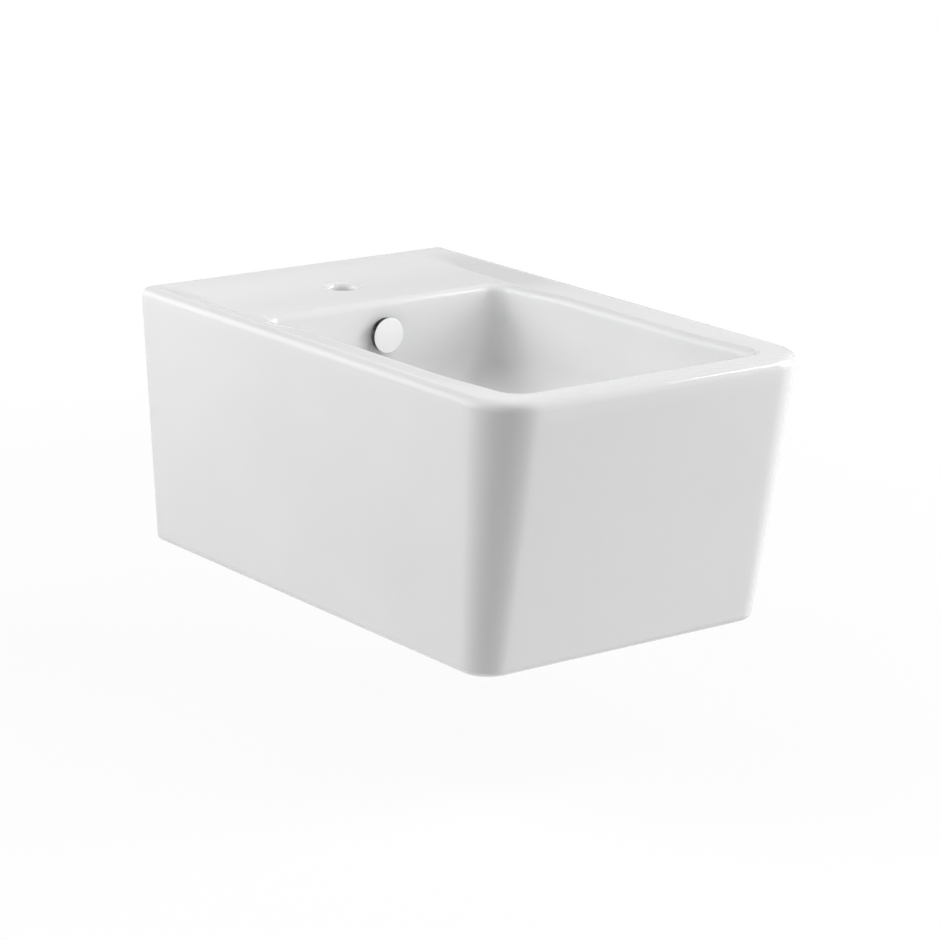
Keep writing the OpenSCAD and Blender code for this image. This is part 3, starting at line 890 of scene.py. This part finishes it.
def washer(name, node, inner, r, material):
    """A flat ring with soft edges in the place of its CAD node."""
    lowest, highest = (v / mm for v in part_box(node))
    outer = highest.x
    made = lathe(name, rounded([
        (inner, lowest.z, r), (outer, lowest.z, r), (outer, highest.z, r), (inner, highest.z, r)], 4),
        at_waste, [material])
    smooth(made, 50)
    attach(made, "ceramic")
    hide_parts(node)


washer("waste_gasket_piece", "waste_gasket", tube_r + fit, 0.5, soft_seal)
washer("waste_slip_washer_piece", "waste_slip_washer", thread_r + fit, 0.4, white_plastic)
cone_low, cone_high = (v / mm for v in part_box("waste_cone_washer"))
cone = lathe("waste_cone_washer_piece", rounded([
    (thread_r + fit, cone_low.z, 0.5), (cone_high.x - cone_taper_w, cone_low.z, 1.2),
    (cone_high.x, cone_high.z, 1.2), (thread_r + fit, cone_high.z, 0.5)], 6), at_waste, [black_rubber])
smooth(cone, 50)
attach(cone, "ceramic")
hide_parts("waste_cone_washer")


# Waste nut: a cast brass back nut with eight flats, its corners turned off at both faces, that pulls the
# waste's flange down on its gasket.
brass = finished(
    "turned_brass", main=(0.62, 0.43, 0.17), patch=(0.52, 0.34, 0.12), patch_scale=55, polish=(0.22, 0.38),
    grain=(1200, 0.01), Metallic=1.0)
corner_fall = 2.5
corner_rise = 1.6
corner_clear = 0.2
sink_w = 1.8
sink_h = 0.8


def nut_piece(name, sides, corner_reach, z0, z1, bore, chamfer, place, material):
    """A nut: a prism whose corners are turned off at both faces, with a countersunk bore."""
    angles = [math.radians(360 * k / sides) for k in range(sides)]
    flats = [(corner_reach * math.cos(a), corner_reach * math.sin(a)) for a in angles]
    blank = prism(name, flats, z0, z1, place, [material])
    face_r = corner_reach - corner_fall * chamfer
    full_r = corner_reach + corner_clear
    rise = corner_rise * chamfer
    shape = lathe("shape", [
        (0, z0), (face_r, z0), (full_r, z0 + rise), (full_r, z1 - rise), (face_r, z1), (0, z1)],
        place, [material], steps=96)
    hole = lathe("hole", [
        (0, z0 - past), (bore + sink_w, z0 - past), (bore, z0 + sink_h), (bore, z1 - sink_h),
        (bore + sink_w, z1 + past), (0, z1 + past)], place, [material], steps=96)
    return carve(blank, ("INTERSECT", shape), ("DIFFERENCE", hole))


def bevelled(obj, width, sharpest=30):
    """Rounds the edges over an angle and leaves a plain mesh."""
    step = obj.modifiers.new("edges", "BEVEL")
    step.width = width * mm
    step.segments = 2
    step.limit_method = "ANGLE"
    step.angle_limit = math.radians(sharpest)
    return plain_mesh(obj)


nut_low, nut_high = (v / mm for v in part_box("waste_nut"))
nut = nut_piece(
    "waste_nut_piece", 8, nut_high.x, nut_low.z, nut_high.z, thread_r + fit, 1.2, at_waste, brass)
bevelled(nut, 0.35, 25)
smooth(nut, 30)
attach(nut, "ceramic")
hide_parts("waste_nut")


# Plug: a domed chrome cap on a stem, with a black seal in a groove under its edge. It is shown open, and a
# press on the cap closes it.
plug_low, plug_high = (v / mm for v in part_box("plug_cap"))
plug_r = plug_high.x
plug_top = plug_high.z
plug_boss_r = 5.5
plug_boss_h = 6
plug_under = plug_low.z + plug_boss_h
plug_bevel_w = 0.8
plug_bevel_h = 0.9
plug_band_h = 2.6
groove_in_r = 14
groove_out_r = 21
groove_top = plug_under + 1
dome_foot = plug_under + 3
dome_start = 0.97
dome = [
    (plug_r * t, dome_foot + (plug_top - dome_foot) * (1 - t ** 3))
    for t in np.linspace(dome_start, 0, 24)]
plug_side = rounded([
    (0, plug_low.z, 0), (plug_boss_r, plug_low.z, 0.5), (plug_boss_r, plug_under, 0.8),
    (groove_in_r - fit, plug_under, 0.2), (groove_in_r - fit, groove_top, 0),
    (groove_out_r + fit, groove_top, 0), (groove_out_r + fit, plug_under, 0.2),
    (plug_r - plug_bevel_w, plug_under, 0.3), (plug_r, plug_under + plug_bevel_h, 0.9),
    (plug_r, plug_under + plug_band_h, 0.9)])
plug = lathe("plug_cap_piece", np.vstack((plug_side, dome)), at_waste, [chrome], steps=192)
smooth(plug, 40)
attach(plug, "plug")
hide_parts("plug_cap")
seal_low, seal_high = (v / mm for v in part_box("plug_seal"))
seal_taper_w = 1.5
seal_taper_h = 0.9
seal_hollow_h = 0.6
plug_seal = lathe("plug_seal_piece", rounded([
    (groove_in_r, seal_low.z + seal_hollow_h, 0.3), (seal_high.x - seal_taper_w, seal_low.z, 0.7),
    (seal_high.x, seal_low.z + seal_taper_h, 0.5), (seal_high.x, seal_high.z, 0.1),
    (groove_in_r, seal_high.z, 0.1)], 5), at_waste, [black_rubber])
smooth(plug_seal, 50)
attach(plug_seal, "plug")
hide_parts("plug_seal")


# Plug stem: a turned stainless rod screwed into the cap, with a collar at its foot that the latch lifts
# and that keeps it in the housing.
steel = finished(
    "stainless_steel", main=(0.56, 0.56, 0.57), patch=(0.48, 0.48, 0.49), patch_scale=120,
    polish=(0.22, 0.34), grain=(2200, 0.006), Metallic=1.0)
stem_low, stem_high = (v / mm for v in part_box("plug_stem"))
stem_r = 3
stem_collar_top = stem_low.z + 4
neck_r = 2.6
neck_foot = plug_low.z - 3
neck_slope = 0.6
stem = lathe("plug_stem_piece", rounded([
    (0, stem_low.z, 0), (stem_high.x, stem_low.z, 0.5), (stem_high.x, stem_collar_top, 0.5),
    (stem_r, stem_collar_top, 0.3), (stem_r, neck_foot, 0), (neck_r, neck_foot + neck_slope, 0),
    (neck_r, plug_low.z - neck_slope, 0), (stem_r, plug_low.z, 0), (stem_r, stem_high.z, 0.4),
    (0, stem_high.z, 0)], 4), at_waste, [steel], steps=64)
smooth(stem, 35)
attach(stem, "plug")
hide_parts("plug_stem")


# Latch: a white moulded housing pushed down into the spider, with a hexagon to hold it while its collar
# is screwed on, a blue cam that turns an eighth at each press, and the spring that lifts the plug.
blue_plastic = finished(
    "blue_plastic", main=(0.05, 0.13, 0.36), patch=(0.04, 0.11, 0.3), patch_scale=80, polish=(0.3, 0.42),
    grain=(1500, 0.012))
house_low, house_high = (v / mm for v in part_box("latch_housing"))
latch_bore = 4.6
latch_floor = house_low.z + 2
hex_r = hub_r - 1
hex_top = hub_top + 3
hex_hole_r = latch_bore + 0.4
house = lathe("latch_housing_piece", rounded([
    (0, house_low.z, 0), (latch_r, house_low.z, 1.2), (latch_r, house_high.z, 0.3),
    (latch_bore, house_high.z, 0.3), (latch_bore, latch_floor, 0.4), (0, latch_floor, 0)]),
    at_waste, [white_plastic], steps=96)
hexagon = [(hex_r * math.cos(a), hex_r * math.sin(a), 0.5) for a in np.radians(np.arange(0, 360, 60))]
hex_flange = prism("hex", rounded(hexagon, 3), hub_top, hex_top, at_waste, [white_plastic])
hex_hole = lathe("hole", disc_outline(hex_hole_r, hub_z, hex_top + past), at_waste, [white_plastic], steps=64)
carve(hex_flange, ("DIFFERENCE", hex_hole))
carve(house, ("UNION", hex_flange))
smooth(house, 35)
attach(house, "ceramic")
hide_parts("latch_housing")

collar_low, collar_high = (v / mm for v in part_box("latch_collar"))
grip_points = 96
grip_depth = 0.35
collar_sink_r = 4.2
collar_sink_h = 0.5
collar_over = collar_high.z + 0.6
grips = []
for k in range(grip_points):
    a = 2 * math.pi * k / grip_points
    r = collar_high.x - (grip_depth if k % 4 in (1, 2) else 0)
    grips.append((r * math.cos(a), r * math.sin(a)))
collar = prism("latch_collar_piece", grips, house_high.z, collar_high.z, at_waste, [white_plastic])
collar_plug = lathe("plug", disc_outline(latch_bore - fit, collar_low.z, house_high.z + past), at_waste,
                    [white_plastic], steps=64)
collar_hole = lathe("hole", rounded([
    (0, collar_low.z - past, 0), (stem_r + fit, collar_low.z - past, 0),
    (stem_r + fit, collar_high.z - collar_sink_h, 0), (collar_sink_r, collar_over, 0),
    (0, collar_over, 0)]), at_waste, [white_plastic], steps=64)
carve(collar, ("UNION", collar_plug), ("DIFFERENCE", collar_hole))
smooth(collar, 30)
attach(collar, "ceramic")
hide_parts("latch_collar")

cam_low, cam_high = (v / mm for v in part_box("latch_cam"))
fin_half = 0.7
cam_core_r = 3.4
between_fins = np.radians(np.linspace(14, 76, 8))
cam_outline = []
for a in np.radians((0, 90, 180, 270)):
    for side in (-1, 1):
        edge_a = a + math.asin(fin_half / cam_high.x) * side
        cam_outline.append((cam_high.x * math.cos(edge_a), cam_high.x * math.sin(edge_a)))
    for t in between_fins:
        cam_outline.append((cam_core_r * math.cos(a + t), cam_core_r * math.sin(a + t)))
cam = prism("latch_cam_piece", cam_outline, cam_low.z, cam_high.z, at_waste, [blue_plastic])
face_outwards(cam)
bevelled(cam, 0.25)
smooth(cam, 35)
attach(cam, "cam")
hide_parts("latch_cam")

spring_low, spring_high = (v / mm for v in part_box("latch_spring"))
spring_turns = 7
spring_wire = 0.4
spring_rise = spring_high.z - spring_low.z - 2 * spring_wire
spring = coiled(
    "latch_spring_piece", spring_turns, spring_high.x - spring_wire, spring_rise, spring_wire, 10,
    at_waste @ Matrix.Translation((0, 0, spring_low.z + spring_wire)), steel, points_a_turn=40)
smooth(spring, 60)
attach(spring, "ceramic")
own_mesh(spring)
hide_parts("latch_spring")


# Wall fixings: a white sleeve with a flange keeps each steel stud off the clay, and a zinc washer and nut
# inside the hollow pull the casting to the wall.
zinc = finished(
    "zinc_plate", main=(0.56, 0.57, 0.58), patch=(0.44, 0.45, 0.47), patch_scale=160, polish=(0.28, 0.46),
    grain=(900, 0.012), Metallic=1.0)
stud_r = 6.5
sleeve_r = fixing_hole_r - 0.3
sleeve_flange_r = 18
sleeve_flange_t = 3
washer_r = 17
washer_t = 2.5
nut_flat_r = 9.5
nut_t = 10
sleeve_end = back_wall + sleeve_flange_t
washer_end = sleeve_end + washer_t
nut_end = washer_end + nut_t


def at_stud(side):
    return Matrix.Translation((side * fixing_x, 0, 0)) @ Matrix.Rotation(math.radians(90), 4, "X")


def pair(make, name, node, sharp=40):
    """The same small piece on both studs, as one piece of the model."""
    made = [make(at_stud(side)) for side in (-1, 1)]
    both = join(*made)
    both.name = name
    smooth(both, sharp)
    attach(both, "ceramic")
    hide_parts(node)


def sleeve(place):
    return lathe("sleeve", rounded([
        (stud_r, 0, 0.4), (sleeve_r, 0, 0.6), (sleeve_r, back_wall, 0), (sleeve_flange_r, back_wall, 0.6),
        (sleeve_flange_r, sleeve_end, 0.8), (stud_r, sleeve_end, 0.4)]), place, [white_plastic], steps=96)


def plate_washer(place):
    return lathe("washer", rounded([
        (stud_r, sleeve_end, 0.3), (washer_r, sleeve_end, 0.5), (washer_r, washer_end, 0.8),
        (stud_r, washer_end, 0.3)]), place, [zinc], steps=96)


def stud_nut(place):
    corner_reach = nut_flat_r / math.cos(math.radians(30))
    return nut_piece("nut", 6, corner_reach, washer_end, nut_end, stud_r, 0.8, place, zinc)


pair(sleeve, "fixing_sleeves_piece", "fixing_sleeves")
pair(plate_washer, "fixing_washers_piece", "fixing_washers")
pair(stud_nut, "fixing_nuts_piece", "fixing_nuts", 28)


# Studio: a white floor that keeps a faint shadow, and a backdrop that is white at its foot and dark overhead.
# Three soft boxes stand behind the left side, one off the right side and one above the front, with two small
# ones high over the bowl.
floor_drop = 320
floor_reach = 9000
shadow_share = 0.07
shadow_reach = (0.55, 1.3)
backdrop_foot = (math.sin(math.radians(20)), math.sin(math.radians(34)))
backdrop_mirrored = 0.6
floor_points = [
    (x * floor_reach, y * floor_reach, -floor_drop) for x, y in ((-1, -1), (1, -1), (1, 1), (-1, 1))]


def any_of(tree, first, *others):
    """A mask that is 1 where any of the masks is."""
    for other in others:
        first = add(tree, "ShaderNodeMath", {0: first, 1: other}, operation="MAXIMUM").outputs[0]
    return first


paper = bpy.data.materials.new("white_paper")
paper.use_nodes = True
paper_tree = paper.node_tree
paper_shader = paper_tree.nodes["Principled BSDF"]
paper_shader.inputs["Roughness"].default_value = 0.9
paper_shader.inputs["Specular IOR Level"].default_value = 0.1
paper_tone = scaled_noise(paper_tree, 2.0)
paper_colour = add(paper_tree, "ShaderNodeMix", {
    "Factor": paper_tone, 6: (0.8, 0.8, 0.8, 1), 7: (0.79, 0.79, 0.79, 1)}, data_type="RGBA")
paper_tree.links.new(paper_colour.outputs[2], paper_shader.inputs["Base Color"])
paper_place = add(paper_tree, "ShaderNodeTexCoord").outputs["Object"]
paper_radius = add(paper_tree, "ShaderNodeVectorMath", {0: paper_place}, operation="LENGTH").outputs["Value"]
paper_white = add(paper_tree, "ShaderNodeMapRange", {
    "Value": paper_radius, "From Min": shadow_reach[0], "From Max": shadow_reach[1],
    "To Min": 1 - shadow_share, "To Max": 1.0}, interpolation_type="SMOOTHSTEP").outputs["Result"]
paper_rays = add(paper_tree, "ShaderNodeLightPath").outputs
paper_seen = any_of(
    paper_tree, paper_rays["Is Camera Ray"], paper_rays["Is Glossy Ray"], paper_rays["Is Transmission Ray"])
paper_share = add(paper_tree, "ShaderNodeMath", {0: paper_seen, 1: paper_white}, operation="MULTIPLY")
paper_light = add(paper_tree, "ShaderNodeEmission", {"Color": (1, 1, 1, 1), "Strength": 1.0})
paper_top = add(paper_tree, "ShaderNodeMixShader", {
    0: paper_share.outputs[0], 1: paper_shader.outputs[0], 2: paper_light.outputs[0]})
paper_under = add(paper_tree, "ShaderNodeBsdfTransparent")
paper_side = add(paper_tree, "ShaderNodeNewGeometry").outputs["Backfacing"]
paper_mix = add(paper_tree, "ShaderNodeMixShader", {
    0: paper_side, 1: paper_top.outputs[0], 2: paper_under.outputs[0]})
paper_tree.links.new(paper_mix.outputs[0], paper_tree.nodes["Material Output"].inputs["Surface"])
studio_floor = mesh_object("studio_floor", floor_points, [(0, 1, 2, 3)], [paper])

world = bpy.data.worlds.new("studio")
scene.world = world
world.use_nodes = True
world_tree = world.node_tree
world_rays = add(world_tree, "ShaderNodeLightPath").outputs
world_up = add(world_tree, "ShaderNodeTexCoord").outputs["Generated"]
world_height = add(world_tree, "ShaderNodeSeparateXYZ", {0: world_up}).outputs["Z"]
world_foot = add(world_tree, "ShaderNodeMapRange", {
    "Value": world_height, "From Min": backdrop_foot[0], "From Max": backdrop_foot[1],
    "To Min": backdrop_mirrored, "To Max": 0.0}, interpolation_type="SMOOTHSTEP").outputs["Result"]
world_mirrored = add(world_tree, "ShaderNodeMath", {
    0: world_foot, 1: world_rays["Is Glossy Ray"]}, operation="MULTIPLY").outputs[0]
world_seen = any_of(
    world_tree, world_rays["Is Camera Ray"], world_rays["Is Transmission Ray"], world_mirrored)
world_shader = world_tree.nodes["Background"]
world_shader.inputs["Color"].default_value = (1, 1, 1, 1)
world_tree.links.new(world_seen, world_shader.inputs["Strength"])

lights_aim = Vector((0, -285, -50)) * mm
far = 2600
near = 1540
tall_box = (1200, 1500)
wide_box = (2600, 1500)
small_box = (900, 900)


def soft_light(name, turn, rise, distance, box, power, mirrored):
    """A soft box that faces the bidet, turned from its front and raised by so many degrees."""
    data = bpy.data.lights.new(name, "AREA")
    data.shape = "RECTANGLE"
    data.size = box[0] * mm
    data.size_y = box[1] * mm
    data.energy = power
    lamp = bpy.data.objects.new(name, data)
    a, e = math.radians(turn), math.radians(rise)
    towards = Vector((math.sin(a) * math.cos(e), -math.cos(a) * math.cos(e), math.sin(e)))
    at = lights_aim + distance * mm * towards
    facing = (lights_aim - at).to_track_quat("-Z", "Y").to_matrix().to_4x4()
    lamp.matrix_world = Matrix.Translation(at) @ facing
    lamp.visible_glossy = mirrored
    scene.collection.objects.link(lamp)


soft_light("left_light", -125, 24, far, tall_box, 22.5, mirrored=False)
soft_light("left_strip_light", -128, 24, far, wide_box, 12.5, mirrored=True)
soft_light("high_left_light", -125, 48, far, tall_box, 17, mirrored=False)
soft_light("right_light", 64, 24, far, tall_box, 51, mirrored=True)
soft_light("front_light", 28, 46, far, tall_box, 22, mirrored=False)
soft_light("small_left_light", -103, 58, near, small_box, 5, mirrored=False)
soft_light("small_front_light", 10, 58, near, small_box, 4, mirrored=False)
